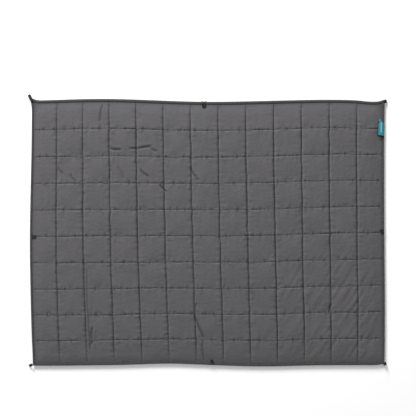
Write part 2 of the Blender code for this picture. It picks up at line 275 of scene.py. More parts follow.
def at_rest(x, y, *heights):
    """Surfaces over one grid of the cut at some heights, moved to where the cloth comes to rest."""
    rest_x, rest_y = lie(x, y)
    return [np.stack([rest_x, rest_y, height], axis=-1) for height in heights]


def rise(distance, reach, power):
    """How far a cell has puffed: 1 less the power of what is left of the reach."""
    return 1 - (1 - np.clip(distance / reach, 0, 1)) ** power


def seam_distances(place, seams):
    """The cell that each place is in, and its distances to the seams before and after."""
    cell = np.clip(np.searchsorted(seams, place, side="right") - 1, 0, len(seams) - 2)
    return cell, np.maximum(place - seams[cell], 0), np.maximum(seams[cell + 1] - place, 0)


def puff(place, seams, reach, edge_reach):
    """The puff across a cell: the rise from each side multiplied, gentler from a bound edge."""
    cell, before, after = seam_distances(place, seams)
    first, last = cell == 0, cell == len(seams) - 2
    up = rise(before, np.where(first, edge_reach, reach), np.where(first, 1.3, 2.4))
    return up * rise(after, np.where(last, edge_reach, reach), np.where(last, 1.3, 2.4))


def gathers(x, y, pucker):
    """Gathers across every seam: hills narrow along the seam and long across it, deepest a little way off.

    Their depth is distance over span times e to the one less that, so it is nothing on the seam.
    """
    span, narrow, long = 0.011, 0.0115, 0.050
    total = np.zeros_like(x)
    for along, place, seams, seed, strength in ((x, y, SEAMS_Y, 11, 1.0), (y, x, SEAMS_X, 12, 0.6)):
        _, before, after = seam_distances(place, seams)
        share = np.minimum(before, after) / span
        total += strength * share * np.exp(1 - share) * hills(along / narrow, place / long, seed)
    return pucker * total


def crease_depth(x, y):
    """Valleys along the creases, each with a lower ridge beside it, that fade out at both ends.

    Across a crease the valley is a hill of the distance, and along it the square root of its sine, capped.
    """
    width, waver = 0.0060, 0.004
    total = np.zeros_like(x)
    for column, row, to_column, to_row, depth in CREASES:
        start = np.array([column * CELL_X - HALF_LENGTH, HALF_WIDTH - row * CELL_Y])
        run = np.array([to_column * CELL_X - HALF_LENGTH, HALF_WIDTH - to_row * CELL_Y]) - start
        length = np.hypot(*run)
        along = ((x - start[0]) * run[0] + (y - start[1]) * run[1]) / length**2
        across = ((y - start[1]) * run[0] - (x - start[0]) * run[1]) / length
        across = across + waver * np.sin(along * 5)
        fade = np.sqrt(np.clip(2.5 * np.sin(np.pi * np.clip(along, 0, 1)), 0, 1))
        total += 1.3 * depth * fade * (0.45 * bump(across, 1.7 * width, width) - bump(across, 0, width))
    return total


def folds(x, y):
    """Soft slanting folds over the foot of the right side, and faint upright ones elsewhere."""
    s, q = x / HALF_LENGTH, y / HALF_WIDTH
    slant = math.radians(57)
    along = x * math.cos(slant) + y * math.sin(slant)
    across = y * math.cos(slant) - x * math.sin(slant)
    corner = ease((s - 0.2) / 0.5) * ease((0.15 - q) / 0.6)
    slanting = hills(along / 0.13, across / 0.017, 21) * corner * 0.0015
    upright = hills(x / 0.020, y / 0.11, 22) * (1 - corner) * 0.0006
    return slanting + upright + 0.0009 * hills(x / 0.075, y / 0.075, 23)


def thickness_at(x, y, shape):
    """The face and the underside of the quilt, and how puffed it is there, from 0 to 1.

    The underside rests on the floor and rises to the seams. The face rises from the seams by the puff
    along times the puff across, more over an upright seam than over a cross seam, to each cell's crown.
    """
    smooth_rim, low_rim, under_reach, under_edge = 0.07, 0.16, 0.034, 0.05
    column, before_x, after_x = seam_distances(x, SEAMS_X)
    row, before_y, after_y = seam_distances(y, SEAMS_Y)
    puff_x = puff(x, SEAMS_X, shape.seam_reach, shape.edge_reach)
    puff_y = puff(y, SEAMS_Y, 0.85 * shape.seam_reach, shape.edge_reach)
    from_edge = np.minimum(FIELD_X - np.abs(x), FIELD_Y - np.abs(y))
    inner = ease(from_edge / smooth_rim)
    puffed = puff_x * (puff_y + shape.cross_seam * inner * (1 - puff_y))
    dome = 0.84 + 0.16 * np.sin(np.pi * before_x / (before_x + after_x + 1e-9)) * np.sin(
        np.pi * before_y / (before_y + after_y + 1e-9)
    )
    uneven = np.random.default_rng(5).uniform(0.95, 1.03, (COLUMNS, ROWS))[column, row]
    low = SEAM_LIFT * (1 - puff(x, SEAMS_X, under_reach, under_edge) * puff(y, SEAMS_Y, under_reach, under_edge))
    face = SEAM_LIFT + SEAM_STACK
    wrinkles = gathers(x, y, shape.pucker) + (crease_depth(x, y) + folds(x, y)) * np.sqrt(puff_x * puff_y)
    crown = (shape.crown - face) * (0.55 + 0.45 * ease(from_edge / low_rim))
    top = face + crown * puffed * dome * uneven + wrinkles * inner
    return np.clip(top, face, shape.crown + 0.0025), low, puff_x * puff_y


def cell_lines(first, last, seams, steps, hem_before, hem_after):
    """Grid lines across cells first to last, closer at the seams: each step less a share of its sine."""
    u = np.arange(steps) / steps
    u = u - 0.5 * np.sin(2 * np.pi * u) / (2 * np.pi)
    lines = [seams[k] + (seams[k + 1] - seams[k]) * u for k in range(first, last)]
    lines.append(seams[last : last + 1])
    reach = TAPE_WIDTH - HEM
    if hem_before:
        lines.insert(0, seams[first] - reach * np.array([1.0, 0.5]))
    if hem_after:
        lines.append(seams[last] + reach * np.array([0.5, 1.0]))
    return np.concatenate(lines)


def panel_grid(name, steps, cross_steps):
    """The cut places of one panel's grid, as two arrays of rows by columns."""
    first, last = PANELS[name]
    xs = cell_lines(first, last, SEAMS_X, steps, first == 0, last == COLUMNS)
    ys = cell_lines(0, ROWS, SEAMS_Y, cross_steps, True, True)
    return np.meshgrid(xs, ys)


# Meshes


def mesh_piece(name, points, quads, uv, material, marks=None):
    """An object of four-sided faces, with its own map in metres and, on cloth, its puff and creases."""
    mesh = bpy.data.meshes.new(name)
    mesh.vertices.add(len(points))
    mesh.vertices.foreach_set("co", points.astype(np.float32).ravel())
    mesh.loops.add(quads.size)
    mesh.loops.foreach_set("vertex_index", quads.astype(np.int32).ravel())
    mesh.polygons.add(len(quads))
    mesh.polygons.foreach_set("loop_start", np.arange(0, quads.size, 4, dtype=np.int32))
    mesh.update(calc_edges=True)
    layer = mesh.uv_layers.new(name="cut")
    layer.uv.foreach_set("vector", uv[quads.ravel()].astype(np.float32).ravel())
    for mark, values in (marks or {}).items():
        attribute = mesh.attributes.new(mark, "FLOAT", "POINT")
        attribute.data.foreach_set("value", values.astype(np.float32))
    mesh.validate()
    mesh.shade_smooth()
    mesh.materials.append(material)
    obj = bpy.data.objects.new(name, mesh)
    bpy.context.scene.collection.objects.link(obj)
    return obj


def two_faced(name, front, back, uv, material, marks=None):
    """A closed piece between two surfaces on one grid: the front, the back turned over, and four sides.

    Each surface is an array of rows by columns by 3. The front's normals point outwards where its
    columns and rows turn anticlockwise, seen from outside.
    """
    rows, columns = front.shape[:2]
    index = np.arange(rows * columns).reshape(rows, columns)
    faces = np.stack([index[:-1, :-1], index[:-1, 1:], index[1:, 1:], index[1:, :-1]], axis=-1).reshape(-1, 4)
    rim = np.concatenate([index[0, :], index[1:, -1], index[-1, -2::-1], index[-2:0:-1, 0]])
    after = np.roll(rim, -1)
    under = rows * columns
    sides = np.stack([rim, rim + under, after + under, after], axis=-1)
    quads = np.concatenate([faces, faces[:, ::-1] + under, sides])
    points = np.concatenate([front.reshape(-1, 3), back.reshape(-1, 3)])
    both = np.concatenate([uv.reshape(-1, 2)] * 2)
    marks = {mark: np.tile(values.ravel(), 2) for mark, values in (marks or {}).items()}
    return mesh_piece(name, points, quads, both, material, marks)


def stitches(name, places, directions, length, width, height, material, slot):
    """Many stitches in one piece: a bar of three four-sided rings, thickest in its middle, per place."""
    ring = np.array([(-1, 0), (0, -1), (1, 0), (0, 1)]) * 0.5
    shares = ((-0.5, 0.45), (0.0, 1.0), (0.5, 0.45))
    template = np.array([(along, a * share, b * share) for along, share in shares for a, b in ring])
    around = np.arange(4)
    bands = [
        np.stack([around + 4 * k, (around + 1) % 4 + 4 * k, (around + 1) % 4 + 4 * k + 4, around + 4 * k + 4], -1)
        for k in range(2)
    ]
    faces = np.concatenate([*bands, [[3, 2, 1, 0]], [[8, 9, 10, 11]]])
    across = np.cross([0, 0, 1], directions)
    up = np.cross(directions, across)
    axes = np.stack([directions * length, across * width, up * height], axis=1)
    points = places[:, None, :] + np.einsum("kc,ncd->nkd", template, axes)
    quads = faces[None] + (np.arange(len(places)) * len(template))[:, None, None]
    uv = np.tile(np.stack([template[:, 0] * length, template[:, 1] * width], axis=-1), (len(places), 1))
    return mesh_piece(name, points.reshape(-1, 3), quads.reshape(-1, 4), uv, material)


def attach(obj, panel, *nodes):
    """Puts a piece of the centre panel on the centre body, bakes a piece of a side panel where it lies, and hides
    the frame's parts that it stands for.
    """
    if panel == "center":
        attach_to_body(obj, "center")
    else:
        if panel == "left":
            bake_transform(obj)
        else:  # the right panel is baked the same way
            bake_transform(obj)
    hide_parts(*nodes)
    return obj


# Materials


def wire(tree, kind, inputs=(), **settings):
    """Adds a node, sets it, and fills or links its inputs, which are given by name or number."""
    node = tree.nodes.new(kind)
    for key, value in settings.items():
        setattr(node, key, value)
    for key, value in dict(inputs).items():
        if isinstance(value, bpy.types.NodeSocket):
            tree.links.new(value, node.inputs[key])
        else:
            node.inputs[key].default_value = value
    return node


def calc(tree, operation, first, second=0.0):
    """One sum on two numbers."""
    return wire(tree, "ShaderNodeMath", {0: first, 1: second}, operation=operation).outputs[0]


def ranged(tree, value, low=0.0, high=1.0, start=0.0, end=1.0):
    """A number between start and end, moved to the same share of the way from low to high."""
    inputs = {"Value": value, "From Min": start, "From Max": end, "To Min": low, "To Max": high}
    return wire(tree, "ShaderNodeMapRange", inputs).outputs[0]


def cut_places(tree):
    """A piece's own map in metres, whole and as its two numbers."""
    uv = wire(tree, "ShaderNodeUVMap", uv_map="cut").outputs[0]
    parts = wire(tree, "ShaderNodeSeparateXYZ", {0: uv})
    return uv, parts.outputs[0], parts.outputs[1]


def cloudy(tree, uv, per_metre, detail=3.0):
    """Soft noise on the piece's own map."""
    inputs = {"Vector": uv, "Scale": per_metre, "Detail": detail, "Roughness": 0.55}
    return wire(tree, "ShaderNodeTexNoise", inputs, noise_dimensions="2D").outputs["Fac"]


def wave(tree, number, pitch):
    """A sine of a length, one turn for each pitch."""
    return calc(tree, "SINE", calc(tree, "MULTIPLY", number, 2 * math.pi / pitch))


def shaded(tree, colour, factor, low, high):
    """A colour made darker or lighter by a factor between 0 and 1, from low to high times itself."""
    inputs = {"Vector": colour, "Scale": ranged(tree, factor, low, high)}
    return wire(tree, "ShaderNodeVectorMath", inputs, operation="SCALE").outputs[0]


def start_material(name):
    """A new material's tree, its surface shader and its own map."""
    material = bpy.data.materials.new(name)
    material.use_nodes = True
    tree = material.node_tree
    return material, tree, tree.nodes["Principled BSDF"]


def finish_surface(tree, shader, colour, roughness, height, depth, sheen=0.0, gloss=0.3):
    """Fills the surface shader: colour and roughness may be linked, and the height gives the relief."""
    tree.links.new(colour, shader.inputs["Base Color"])
    if isinstance(roughness, bpy.types.NodeSocket):
        tree.links.new(roughness, shader.inputs["Roughness"])
    else:
        shader.inputs["Roughness"].default_value = roughness
    shader.inputs["Sheen Weight"].default_value = sheen
    shader.inputs["Sheen Roughness"].default_value = 0.45
    shader.inputs["Specular IOR Level"].default_value = gloss
    relief = wire(tree, "ShaderNodeBump", {"Height": height, "Distance": depth, "Strength": 1.0})
    tree.links.new(relief.outputs[0], shader.inputs["Normal"])


def tucks(tree, uv, number, start, pitch, scale):
    """Small tucks that stand across the seams: stretched noise above a level, fading away from a seam."""
    away = calc(tree, "PINGPONG", calc(tree, "ADD", number, start), pitch / 2)
    near = ranged(tree, away, 1.0, 0.0, end=0.022)
    stretched = wire(tree, "ShaderNodeMapping", {"Vector": uv, "Scale": (*scale, 1.0)}).outputs[0]
    ridge = ranged(tree, cloudy(tree, stretched, 1.0, 1.0), start=0.55, end=0.72)
    return calc(tree, "MULTIPLY", ridge, near)


def cloth_material(name, colour, pitch, sheen):
    """Plain weave: warp times weft, mottled, with fine crumples, and darkened by painted shade in the seams, tucks
    and creases.
    """
    material, tree, shader = start_material(name)
    uv, u, v = cut_places(tree)
    weave = calc(tree, "MULTIPLY", wave(tree, u, pitch), wave(tree, v, pitch))
    slub = wire(tree, "ShaderNodeMapping", {"Vector": uv, "Scale": (900.0, 35.0, 1.0)}).outputs[0]
    slubs = cloudy(tree, slub, 1.0, 2.0)
    mottle = cloudy(tree, uv, 7.0)
    crumple = cloudy(tree, uv, 55.0, 4.0)
    puffed = wire(tree, "ShaderNodeAttribute", attribute_name="puffed").outputs["Fac"]
    creased = wire(tree, "ShaderNodeAttribute", attribute_name="creased").outputs["Fac"]
    along_cross_seams = tucks(tree, uv, v, 0.0, CELL_Y, (48.0, 13.0))
    along_upright_seams = calc(tree, "MULTIPLY", tucks(tree, uv, u, CELL_X / 2, CELL_X, (14.0, 60.0)), 0.45)
    tucked = calc(tree, "MAXIMUM", calc(tree, "MAXIMUM", along_cross_seams, along_upright_seams), creased)
    # Painted shade: the colour falls to three quarters on the seams, and by up to 42 percent more in the tucks and
    # creases
    seam = ranged(tree, puffed, 0.75, end=0.35)
    painted_groove_shade = calc(tree, "MULTIPLY", seam, calc(tree, "SUBTRACT", 1.0, calc(tree, "MULTIPLY", tucked, 0.42)))
    tone = calc(tree, "ADD", calc(tree, "MULTIPLY", mottle, 0.55), calc(tree, "MULTIPLY", slubs, 0.45))
    tinted = shaded(tree, colour, tone, 0.86, 1.14)
    threads = shaded(tree, tinted, calc(tree, "MULTIPLY_ADD", weave, 0.5), 0.93, 1.07)
    seamed = wire(tree, "ShaderNodeVectorMath", {"Vector": threads, "Scale": painted_groove_shade}, operation="SCALE").outputs[0]
    rough = ranged(tree, crumple, 0.80, 0.96)
    height = calc(tree, "ADD", calc(tree, "MULTIPLY", weave, 0.05), calc(tree, "SUBTRACT", crumple, tucked))
    finish_surface(tree, shader, seamed, rough, height, 0.0012, sheen, 0.12)
    return material


def tape_material(name, colour, rib):
    """Herringbone tape: slanting ribs that change direction every few millimetres across the tape."""
    material, tree, shader = start_material(name)
    uv, u, v = cut_places(tree)
    turn = calc(tree, "PINGPONG", v, 0.003)
    ribs = wave(tree, calc(tree, "ADD", u, turn), rib)
    fuzz = cloudy(tree, uv, 160.0)
    tone = calc(tree, "MULTIPLY_ADD", ribs, 0.35)
    tone = calc(tree, "ADD", tone, calc(tree, "MULTIPLY", fuzz, 0.9))
    height = calc(tree, "ADD", calc(tree, "MULTIPLY", ribs, 0.6), calc(tree, "MULTIPLY", fuzz, 0.4))
    finish_surface(tree, shader, shaded(tree, colour, tone, 0.7, 1.2), 0.85, height, 0.0003, 0.03, 0.15)
    return material


def thread_material(name, colour):
    """Twisted thread: fine slanting plies with a little gloss."""
    material, tree, shader = start_material(name)
    uv, u, v = cut_places(tree)
    plies = wave(tree, calc(tree, "ADD", u, v), 0.0007)
    tone = calc(tree, "MULTIPLY_ADD", plies, 0.4)
    finish_surface(tree, shader, shaded(tree, colour, tone, 0.8, 1.25), 0.5, plies, 0.0001, 0.0)
    return material


def fill_material(name, colour):
    """Batting: tangled pale fibres."""
    material, tree, shader = start_material(name)
    uv, u, v = cut_places(tree)
    fibres = cloudy(tree, uv, 420.0, 6.0)
    clumps = cloudy(tree, uv, 40.0, 3.0)
    height = calc(tree, "ADD", fibres, clumps)
    finish_surface(tree, shader, shaded(tree, colour, fibres, 0.8, 1.1), 0.95, height, 0.002, 0.3)
    return material


def label_material(name, colour, mark, width, length):
    """Satin-woven label: fine ribs, a paler zigzag down its middle and a border along its edges."""
    material, tree, shader = start_material(name)
    uv, u, v = cut_places(tree)
    swing = 0.0042
    ribs = wave(tree, v, 0.0006)
    zigzag = calc(tree, "MULTIPLY", calc(tree, "PINGPONG", v, swing), 2.0)
    from_side = calc(tree, "SUBTRACT", u, 0.5 * width - swing)
    off_line = calc(tree, "ABSOLUTE", calc(tree, "SUBTRACT", from_side, zigzag))
    on_line = calc(tree, "LESS_THAN", off_line, 0.0019)
    within = calc(tree, "LESS_THAN", calc(tree, "ABSOLUTE", v), 0.31 * length)
    marked = calc(tree, "MULTIPLY", on_line, within)
    edge = calc(tree, "GREATER_THAN", calc(tree, "ABSOLUTE", v), 0.5 * length - 0.0022)
    plain = shaded(tree, colour, cloudy(tree, uv, 120.0), 0.88, 1.12)
    bordered = shaded(tree, plain, edge, 1.0, 0.62)
    mixed = wire(tree, "ShaderNodeMix", {"Factor": marked, "A": bordered, "B": (*mark, 1.0)}, data_type="RGBA")
    marked_colour = next(output for output in mixed.outputs if output.type == "RGBA")
    height = calc(tree, "ADD", calc(tree, "MULTIPLY", ribs, 0.25), marked)
    finish_surface(tree, shader, marked_colour, 0.45, height, 0.0003, 0.0)
    return material


def floor_material(name, colour):
    """A matt pale floor with barely any grain."""
    material, tree, shader = start_material(name)
    place = wire(tree, "ShaderNodeTexCoord").outputs["Object"]
    grain = wire(tree, "ShaderNodeTexNoise", {"Vector": place, "Scale": 3.0, "Detail": 2.0}).outputs["Fac"]
    tree.links.new(shaded(tree, colour, grain, 0.99, 1.01), shader.inputs["Base Color"])
    shader.inputs["Roughness"].default_value = 0.9
    return material


def settings():
    """The sizes and colours that the panel shows."""
    scene = bpy.context.scene
    return scene.quilt_shape, scene.quilt_colours, scene.quilt_stage


# One operator for each piece or group of like pieces


class QUILT_OT_cloths(bpy.types.Operator):
    """Lays the outer fabric and the lining, each a thin closed sheet in three panels"""

    bl_idname = "quilt.cloths"
    bl_label = "Outer Fabric and Lining"

    def execute(self, context):
        shape, colours, _ = settings()
        outer = cloth_material("outer_weave", colours.outer, 0.0011, 0.03)
        lining = cloth_material("lining_weave", colours.lining, 0.0009, 0.02)
        for panel, (first, last) in PANELS.items():
            x, y = panel_grid(panel, shape.steps, shape.steps)
            top, low, puffed = thickness_at(x, y, shape)
            uv = np.stack([x, y], axis=-1)
            # The puffed and creased marks also set where the cloth's colour is darkened by painted shade
            marks = {"puffed": puffed, "creased": np.clip(-crease_depth(x, y) / 0.003, 0, 1)}
            layers = (
                ("outer_fabric", top, top - shape.cloth, outer, "shell_fabric", "top_shell"),
                ("lining_fabric", low + shape.cloth, low, lining, "lining_fabric", "bottom_shell"),
            )
            for kind, upper, lower, material, slot, node in layers:
                front, back = at_rest(x, y, upper, lower)
                obj = two_faced(f"{kind}_{panel}", front, back, uv, material, marks)
                attach(obj, panel, f"{node}_{panel}")
        return {"FINISHED"}


class QUILT_OT_fill(bpy.types.Operator):
    """Lays the batting between the cloths, pressed thin at the seams"""

    bl_idname = "quilt.fill"
    bl_label = "Batting"

    def execute(self, context):
        shape, colours, _ = settings()
        material = fill_material("batting_fibre", colours.fill)
        cross_steps, sunk, raised = 14, 0.0055, 0.0012
        for panel in PANELS:
            x, y = panel_grid(panel, shape.steps, cross_steps)
            top, low, puffed = thickness_at(x, y, shape)
            inside = shape.cloth + FIT
            upper = top - inside - sunk * puffed
            lower = np.minimum(low + inside + raised * puffed, upper - FIT)
            front, back = at_rest(x, y, upper, lower)
            obj = two_faced(f"quilt_fill_{panel}", front, back, np.stack([x, y], -1), material)
            attach(obj, panel, f"batting_{panel}")
        return {"FINISHED"}


def along_seams(panel, pitch):
    """The cut places of every stitch of a panel's seams, and which way each runs.

    Stitches stand half a pitch either side of where seams cross, so that no two lie in each other.
    """
    first, last = PANELS[panel]
    places, ways = [], []
    per_row, per_column = round(CELL_Y / pitch), round(CELL_X / pitch)
    ys = (np.arange(ROWS * per_row) + 0.5) * CELL_Y / per_row - HALF_WIDTH
    ys = ys[np.abs(ys) < FIELD_Y - pitch]
    for k in range(max(first, 1), last):
        places.append(np.stack([np.full_like(ys, SEAMS_X[k]), ys], axis=-1))
        ways.append(np.tile([0.0, 1.0], (len(ys), 1)))
    xs = (np.arange((last - first) * per_column) + 0.5) * CELL_X / per_column + first * CELL_X - HALF_LENGTH
    xs = xs[np.abs(xs) < FIELD_X - pitch]
    for k in range(1, ROWS):
        places.append(np.stack([xs, np.full_like(xs, SEAMS_Y[k])], axis=-1))
        ways.append(np.tile([1.0, 0.0], (len(xs), 1)))
    return np.concatenate(places), np.concatenate(ways)


def run_on_cloth(places, ways, height_of):
    """Where stitches come to rest on a surface and their directions, from points a little either way."""
    step = 0.0006
    ends = []
    for sign in (-1, 1):
        x, y = (places + ways * step * sign).T
        ends += at_rest(x, y, height_of(x, y))
    run = ends[1] - ends[0]
    return (ends[0] + ends[1]) / 2, run / np.linalg.norm(run, axis=1)[:, None]


class QUILT_OT_quilting(bpy.types.Operator):
    """Sews the rows of stitches along every seam, on the face and on the underside"""

    bl_idname = "quilt.quilting"
    bl_label = "Quilting Stitches"

    def execute(self, context):
        shape, colours, _ = settings()
        material = thread_material("quilting_thread", colours.thread)
        size = (0.74 * shape.stitch, shape.thread, 0.8 * shape.thread)
        for panel in PANELS:
            places, ways = along_seams(panel, shape.stitch)
            for kind, face, shift in (("needle", 0, 0.35), ("bobbin", 1, -0.45)):
                at, way = run_on_cloth(places, ways, lambda x, y: thickness_at(x, y, shape)[face])
                at[:, 2] += shift * shape.thread
                obj = stitches(f"{kind}_stitches_{panel}", at, way, *size, material, "thread")
                attach(obj, panel, f"{kind}_thread_{panel}")
        return {"FINISHED"}


def tape_profile():
    """The folded tape across its width, as (inward from the edge, height) for its two skins.

    Each skin runs along the face, round a half circle at the edge and back along the underside.
    """
    middle = (TAPE_LOW.z + TAPE_HIGH.z) / 2
    turn = np.linspace(math.pi / 2, -math.pi / 2, 11)
    flat = np.linspace(0, 1, 5)[:-1]
    skins = []
    for shrink in (0.0, TAPE_THICKNESS):
        radius = (TAPE_HIGH.z - TAPE_LOW.z) / 2 - shrink
        bend = shrink + radius
        inward = TAPE_WIDTH + (bend - TAPE_WIDTH) * flat
        depth = np.concatenate([inward, bend - radius * np.cos(turn), inward[::-1]])
        height = np.concatenate([np.full(4, radius), radius * np.sin(turn), np.full(4, -radius)])
        skins.append((depth, middle + height))
    return skins


def edge_tape(name, outward, start, end, mitred, material):
    """Tape along one edge of the cut, from start to end, its corner ends cut back as it goes inwards."""
    run = np.linspace(0, 1, max(int(abs(end - start) / 0.006), 8))
    skins = []
    normal = np.array(outward, float)
    along = np.array([abs(normal[1]), abs(normal[0])])
    half = HALF_LENGTH if normal[0] else HALF_WIDTH
    for depth, height in tape_profile():
        cut_back = depth + 0.0001
        first = start - math.copysign(1, start) * cut_back * mitred[0]
        last = end - math.copysign(1, end) * cut_back * mitred[1]
        place = first[None, :] + (last - first)[None, :] * run[:, None]
        scallop = 0.0004 * hills(place / 0.013, place * 0 + 5 * half, 31) * np.sin(np.pi * depth / TAPE_WIDTH)
        cut = normal * (half - depth)[None, :, None] + along * place[:, :, None]
        x, y = lie(cut[..., 0], cut[..., 1])
        skins.append(np.stack([x, y, height[None, :] + scallop], axis=-1))
    across = np.concatenate([[0], np.cumsum(np.hypot(np.diff(depth), np.diff(height)))])
    uv = np.stack(np.broadcast_arrays(place, across[None, :]), axis=-1)
    front, back = skins
    if outward in ((-1, 0), (0, 1)):
        front, back, uv = front[::-1], back[::-1], uv[::-1]
    return two_faced(name, front, back, uv, material)


class QUILT_OT_edge_tapes(bpy.types.Operator):
    """Binds the raw edges with folded tape, mitred at the corners"""

    bl_idname = "quilt.edge_tapes"
    bl_label = "Edge Tapes"

    def execute(self, context):
        _, colours, _ = settings()
        material = tape_material("binding_weave", colours.edge_tape, 0.0016)
        for side, sign in (("left", -1), ("right", 1)):
            obj = edge_tape(f"edge_tape_{side}", (sign, 0), -HALF_WIDTH, HALF_WIDTH, (1, 1), material)
            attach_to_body(obj, f"flap_{side}")
            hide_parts(f"binding_{side}")
        for edge, sign in (("top", 1), ("bottom", -1)):
            for panel, (first, last) in PANELS.items():
                start = -HALF_LENGTH if first == 0 else SEAMS_X[first]
                end = HALF_LENGTH if last == COLUMNS else SEAMS_X[last]
                mitred = (first == 0, last == COLUMNS)
                obj = edge_tape(f"edge_tape_{edge}_{panel}", (0, sign), start, end, mitred, material)
                attach(obj, panel, f"binding_{edge}_{panel}")
        return {"FINISHED"}


class QUILT_OT_edge_stitches(bpy.types.Operator):
    """Sews the row of stitches that holds the edge tape, on both of its faces"""

    bl_idname = "quilt.edge_stitches"
    bl_label = "Edge Stitches"

    def execute(self, context):
        shape, colours, _ = settings()
        material = thread_material("edge_thread", colours.thread)
        inset, pitch, size = 0.0085, 0.0042, (0.0031, 0.0009, 0.0006)
        row_x, row_y = HALF_LENGTH - inset, HALF_WIDTH - inset
        for panel, (first, last) in PANELS.items():
            start = -row_x if first == 0 else SEAMS_X[first]
            end = row_x if last == COLUMNS else SEAMS_X[last]
            count = round((end - start) / pitch)
            xs = start + (np.arange(count) + 0.5) * (end - start) / count
            rows = [(np.stack([xs, np.full_like(xs, sign * row_y)], -1), [1.0, 0.0]) for sign in (-1, 1)]
            if panel != "center":
                count = round(2 * row_y / pitch)
                ys = (np.arange(count) + 0.5) * 2 * row_y / count - row_y
                sign = -1 if panel == "left" else 1
                rows.append((np.stack([np.full_like(ys, sign * row_x), ys], -1), [0.0, 1.0]))
            places = np.concatenate([cut for cut, _ in rows])
            ways = np.concatenate([np.tile(way, (len(cut), 1)) for cut, way in rows])
            at, way = run_on_cloth(places, ways, lambda x, y: np.zeros_like(x))
            both, ways = np.concatenate([at, at]), np.concatenate([way, way])
            both[: len(at), 2] = TAPE_HIGH.z + FIT
            both[len(at) :, 2] = TAPE_LOW.z - FIT / 3
            obj = stitches(f"edge_stitches_{panel}", both, ways, *size, material, "thread")
            nodes = ["edge_thread_center_top", "edge_thread_center_bottom"]
            attach(obj, panel, *(nodes if panel == "center" else [f"edge_thread_{panel}"]))
        return {"FINISHED"}


def smooth_path(points, count):
    """A curve through the points, straight at its ends: each span is a cubic through its neighbours."""
    p = np.array(points, float)
    p = np.vstack([2 * p[0] - p[1], p, 2 * p[-1] - p[-2]])
    t = np.linspace(0, len(p) - 3, count)
    k = np.minimum(t.astype(int), len(p) - 4)
    u = (t - k)[:, None]
    a, b, c, d = p[k], p[k + 1], p[k + 2], p[k + 3]
    return 0.5 * (2 * b + (c - a) * u + (2 * a - 5 * b + 4 * c - d) * u**2 + (3 * b - a - 3 * c + d) * u**3)


def loop_tape(name, path, across, thickness, material):
    """Tape along a path of points in space: its width runs along across, bulging a little at its middle.

    The two skins stand half the thickness either side, along the path's direction turned by across.
    """
    run = np.gradient(path, axis=0)
    run /= np.linalg.norm(run, axis=1)[:, None]
    outward = np.cross(run, across / np.linalg.norm(across, axis=1)[:, None])
    shares = np.linspace(-0.5, 0.5, 7)
    middle = path[:, None, :] + across[:, None, :] * shares[None, :, None]
    plump = 0.55 + 0.45 * np.sqrt(1 - (2 * shares) ** 2)
    skin = outward[:, None, :] * (thickness / 2 * plump)[None, :, None]
    length = np.concatenate([[0], np.cumsum(np.linalg.norm(np.diff(path, axis=0), axis=1))])
    width = np.linalg.norm(across[0])
    uv = np.stack(np.meshgrid(shares * width, length), axis=-1)[..., ::-1]
    return two_faced(name, middle - skin, middle + skin, uv, material)


class QUILT_OT_corner_loops(bpy.types.Operator):
    """Sews a loop of flat tape into each corner"""

    bl_idname = "quilt.corner_loops"
    bl_label = "Corner Loops"

    def execute(self, context):
        _, colours, _ = settings()
        material = tape_material("corner_tape_weave", colours.loop_tape, 0.0013)
        width, thickness, lift = 0.012, 0.0012, 0.0008
        half_root, eye = thickness / 2 + FIT, 0.0048
        for corner, (degrees, reach, spread) in CORNER_LOOPS.items():
            heading = math.radians(degrees)
            out = np.array([math.cos(heading), math.sin(heading), 0.0])
            steep, shallow = max(abs(out[:2])), min(abs(out[:2]))
            root = np.array(HINGES[f"loop_{corner}_swing"])
            drawn_out = 0.012 if corner == "top_left" else 0.0
            clear = (HALF_LENGTH - abs(root[0]) + shallow * width / 2) / steep + drawn_out
            floor = thickness / 2 + lift - root[2]
            eye_top = floor + eye + thickness
            belly = clear + 0.45 * (reach - clear)
            near_tip = 0.9 * reach
            points = [
                (0.0, -half_root),
                (clear, -half_root),
                (belly, floor),
                (near_tip, floor),
                (reach, (floor + eye_top) / 2),
                (near_tip, eye_top),
                (belly, eye_top + half_root),
                (clear, half_root),
                (0.0, half_root),
            ]
            path = smooth_path(points, 65)
            path = root + path[:, :1] * out + path[:, 1:] * np.array([0.0, 0.0, 1.0])
            reached = np.abs(path - root).max(axis=1)[:, None] / reach
            wide = width + (spread - width) * ease(2.5 * reached)
            across = np.array([-out[1], out[0], 0.0]) * wide
            obj = loop_tape(f"corner_tape_{corner}", path, across, thickness, material)
            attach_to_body(obj, f"loop_{corner}")
            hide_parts(f"corner_loop_{corner}")
        return {"FINISHED"}


class QUILT_OT_side_loops(bpy.types.Operator):
    """Sews a small loop into the middle of each edge, laid back over the face"""

    bl_idname = "quilt.side_loops"
    bl_label = "Side Loops"

    def execute(self, context):
        _, colours, _ = settings()
        material = tape_material("side_tape_weave", colours.loop_tape, 0.0011)
        thickness, sunk, tilt = 0.0013, 0.0015, -0.03
        for edge, (outward, length, spread) in SIDE_LOOPS.items():
            root = np.array(HINGES[f"loop_{edge}_flip"])
            inward = -np.array([*outward, 0.0])
            root[2] -= sunk
            lean = inward * math.cos(tilt) + np.array([0.0, 0.0, math.sin(tilt)])
            side = np.array([-inward[1], inward[0], 0.0])
            stand = np.cross(lean, side)
            half = spread / 2
            straight = length - half
            turn = np.linspace(0, math.pi, 9)
            bend = np.stack([np.sin(turn) * half + straight, -np.cos(turn) * half], axis=-1)
            legs = [(0.0, -half), (straight / 2, -0.92 * half)], [(straight / 2, 0.92 * half), (0.0, half)]
            path = smooth_path(np.concatenate([legs[0], bend, legs[1]]), 61)
            grown = ease(path[:, :1] / length)
            turned = math.radians(82) * grown
            outwards = (path[:, :1] - straight).clip(0) * lean + path[:, 1:] * side
            outwards = outwards / np.linalg.norm(outwards, axis=1)[:, None]
            across = (stand * np.cos(turned) + outwards * np.sin(turned)) * spread * (0.45 + 0.5 * grown)
            place = root + path[:, :1] * lean + path[:, 1:] * side
            obj = loop_tape(f"side_tape_{edge}", place, across, thickness, material)
            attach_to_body(obj, f"loop_{edge}")
            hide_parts(f"side_loop_{edge}")
        return {"FINISHED"}


